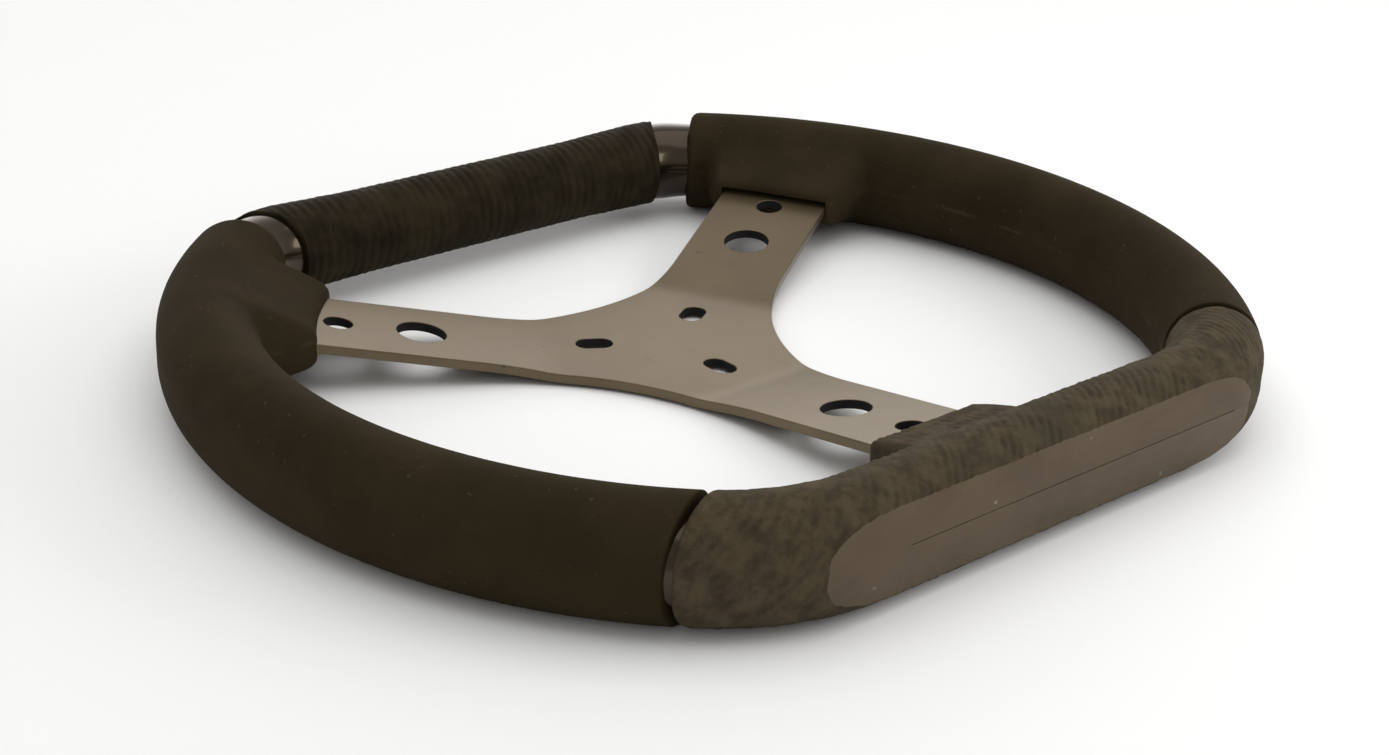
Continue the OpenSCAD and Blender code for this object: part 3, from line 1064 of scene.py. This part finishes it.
def bend_spokes(rim, mesh):
    """Bends each spoke up along its line, over a short round."""
    plate = rim.plate
    round_half = 4 * MM
    bm = bmesh.new()
    bm.from_mesh(mesh)
    bmesh.ops.remove_doubles(bm, verts=bm.verts, dist=0.002 * MM)
    bmesh.ops.dissolve_limit(bm, angle_limit=math.radians(0.5), verts=bm.verts, edges=bm.edges)
    for which in SPOKES:
        outwards = Vector((*rim.spoke(which)[0], 0))
        for cut_at in np.linspace(-round_half, round_half, 7):
            everything = [*bm.verts, *bm.edges, *bm.faces]
            on_plane = outwards * (plate.bend + cut_at)
            bmesh.ops.bisect_plane(bm, geom=everything, dist=1e-7, plane_co=on_plane, plane_no=outwards)
    for v in bm.verts:
        v.co.z += HUB_SEAT_Z + plate.thickness / 2
        for which in SPOKES:
            d, reach, _ = rim.spoke(which)
            past = turned(v.co.x, v.co.y, d)[0] - plate.bend
            if past > -round_half:
                inside = min(past, round_half)
                ramp = (inside + round_half) ** 2 / (4 * round_half) + max(past - round_half, 0)
                v.co.z += ramp * rim.slope(reach)
    bmesh.ops.triangulate(bm, faces=[f for f in bm.faces if len(f.verts) > 4])
    bmesh.ops.recalc_face_normals(bm, faces=bm.faces)
    bm.to_mesh(mesh)
    bm.free()


class WHEEL_OT_plate(WheelStep):
    """Build the spoke plate with its slots, holes and bent spokes"""

    bl_idname = "wheel.plate"
    bl_label = "Spoke Plate"

    def execute(self, context):
        rim = Rim(context.scene)
        mesh = plate_blank(rim)
        bend_spokes(rim, mesh)
        paint = plate_paint(context.scene.wheel_finish.plate)
        obj = piece("bent_spoke_plate", mesh, paint, plate_cut_painted_shade())
        holes = [(x, y, radius + 0.1 * MM) for x, y, radius, _, _ in plate_holes(rim)]
        # the walls of the holes and slots take the second material, painted near-black as painted shade
        for face in mesh.polygons:
            x, y, _ = face.center
            if abs(face.normal.z) < 0.5 and any(math.hypot(x - a, y - b) < r for a, b, r in holes):
                face.material_index = 1
        smooth(obj, 10)
        return self.finish(obj, "plate_paint", "spoke_plate")


class WHEEL_OT_welds(WheelStep):
    """Paint the weld beads"""

    bl_idname = "wheel.welds"
    bl_label = "Welds"

    def execute(self, context):
        material = weld_paint(context.scene.wheel_finish.weld)
        for name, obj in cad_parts.items():
            if "weld" not in name:
                continue
            if not obj.material_slots:
                obj.data.materials.append(material)
            for slot in obj.material_slots:
                slot.material = material
        return {"FINISHED"}


# ---- studio ----


def look_from(position, target, roll):
    """A matrix that looks from a position to a target, rolled about its own axis."""
    back = (position - target).normalized()
    right = Vector((0, 0, 1)).cross(back).normalized()
    up = back.cross(right)
    rolled_right = right * math.cos(roll) + up * math.sin(roll)
    rolled_up = up * math.cos(roll) - right * math.sin(roll)
    matrix = Matrix((rolled_right, rolled_up, back)).transposed().to_4x4()
    matrix.translation = position
    return matrix


def soft_light(name, position, target, size, power, colour):
    """A large area light."""
    light = bpy.data.lights.new(name, "AREA")
    light.shape = "RECTANGLE"
    light.size, light.size_y = size
    light.energy = power
    light.color = colour
    new_object(name, light).matrix_world = look_from(Vector(position), Vector(target), 0.0)


def studio_sky():
    """A soft warm sky with a brighter band low behind the top bar."""
    world = bpy.data.worlds.new("studio")
    world.use_nodes = True
    net = Net(world.node_tree)
    background = world.node_tree.nodes["Background"]
    background.inputs["Color"].default_value = (1.0, 0.965, 0.92, 1)
    sky = net.wire("ShaderNodeTexCoord", "Generated")
    behind = net.wire(
        "ShaderNodeVectorMath", "Value", {"operation": "DOT_PRODUCT"}, {0: sky, 1: (0.64, 0.77, 0.0)}
    )
    height = net.wire("ShaderNodeSeparateXYZ", "Z", None, {"Vector": sky})
    bright = behind.ramp(0.2, 0.95) * height.ramp(0.72, 0.28)
    net.feed(background.inputs["Strength"], 0.58 + 1.3 * bright)
    return world


def studio_camera():
    """A camera low in front of the flat, to the left, tipped a little."""
    azimuth, elevation, roll = (math.radians(a) for a in (-43.125, 24.258, 3.084))
    distance = 689.533 * MM
    target = Vector((-12.2, -25.5, 3.0)) * MM
    level = math.cos(elevation)
    back = Vector((math.sin(azimuth) * level, -math.cos(azimuth) * level, math.sin(elevation)))
    camera = bpy.data.cameras.new("camera")
    camera.sensor_width = 36
    camera.lens = 59.7
    camera.clip_start = 0.05
    obj = new_object("camera", camera)
    obj.matrix_world = look_from(target + back * distance, target, roll)
    return obj


class WHEEL_OT_stage(WheelStep):
    """Build the studio: floor, soft light and camera"""

    bl_idname = "wheel.stage"
    bl_label = "Studio"

    def execute(self, context):
        scene = context.scene
        floor_z = cad_box[0][2]
        corners = [(x, y, floor_z) for x, y in ((-6, -6), (6, -6), (6, 6), (-6, 6))]
        mesh = bpy.data.meshes.new("floor")
        mesh.from_pydata(corners, [], [(0, 1, 2, 3)])
        floor = piece("floor", mesh, floor_paper(scene.wheel_finish.floor))
        scene.world = studio_sky()
        soft_light("overhead", (0.1, 0.1, 1.6), (0, 0, 0), (2.2, 2.0), 13, (1.0, 0.98, 0.95))
        soft_light("side_fill", (0.5, -0.5, 0.35), (0, -0.05, 0), (0.4, 0.3), 1.6, (1.0, 0.97, 0.93))
        scene.camera = studio_camera()
        scene.view_settings.view_transform = "Standard"
        return {"FINISHED"}


STEPS = (
    WHEEL_OT_tube, WHEEL_OT_plate, WHEEL_OT_welds, WHEEL_OT_side_grips, WHEEL_OT_bottom_grip,
    WHEEL_OT_sleeve, WHEEL_OT_stage,
)
GROUPS = {
    "wheel_rim": RimSizes, "wheel_plate": PlateSizes, "wheel_grip": GripSizes, "wheel_finish": Finishes,
}


class WHEEL_PT_panel(bpy.types.Panel):
    """Build steps and sizes in the sidebar."""

    bl_idname = "WHEEL_PT_panel"
    bl_label = "Steering Wheel"
    bl_space_type = "VIEW_3D"
    bl_region_type = "UI"
    bl_category = "Wheel"

    def draw(self, context):
        for step in STEPS:
            self.layout.operator(step.bl_idname)
        for name, group in GROUPS.items():
            box = self.layout.box()
            for key in group.__annotations__:
                box.prop(getattr(context.scene, name), key)


def register():
    for name, group in GROUPS.items():
        bpy.utils.register_class(group)
        setattr(bpy.types.Scene, name, bpy.props.PointerProperty(type=group))
    for cls in (*STEPS, WHEEL_PT_panel):
        bpy.utils.register_class(cls)


def unregister():
    for cls in (WHEEL_PT_panel, *reversed(STEPS)):
        bpy.utils.unregister_class(cls)
    for name in GROUPS:
        delattr(bpy.types.Scene, name)
    for group in reversed(GROUPS.values()):
        bpy.utils.unregister_class(group)


def main():
    register()
    for step in STEPS:
        area, name = step.bl_idname.split(".")
        getattr(getattr(bpy.ops, area), name)()


if __name__ == "__main__":
    main()
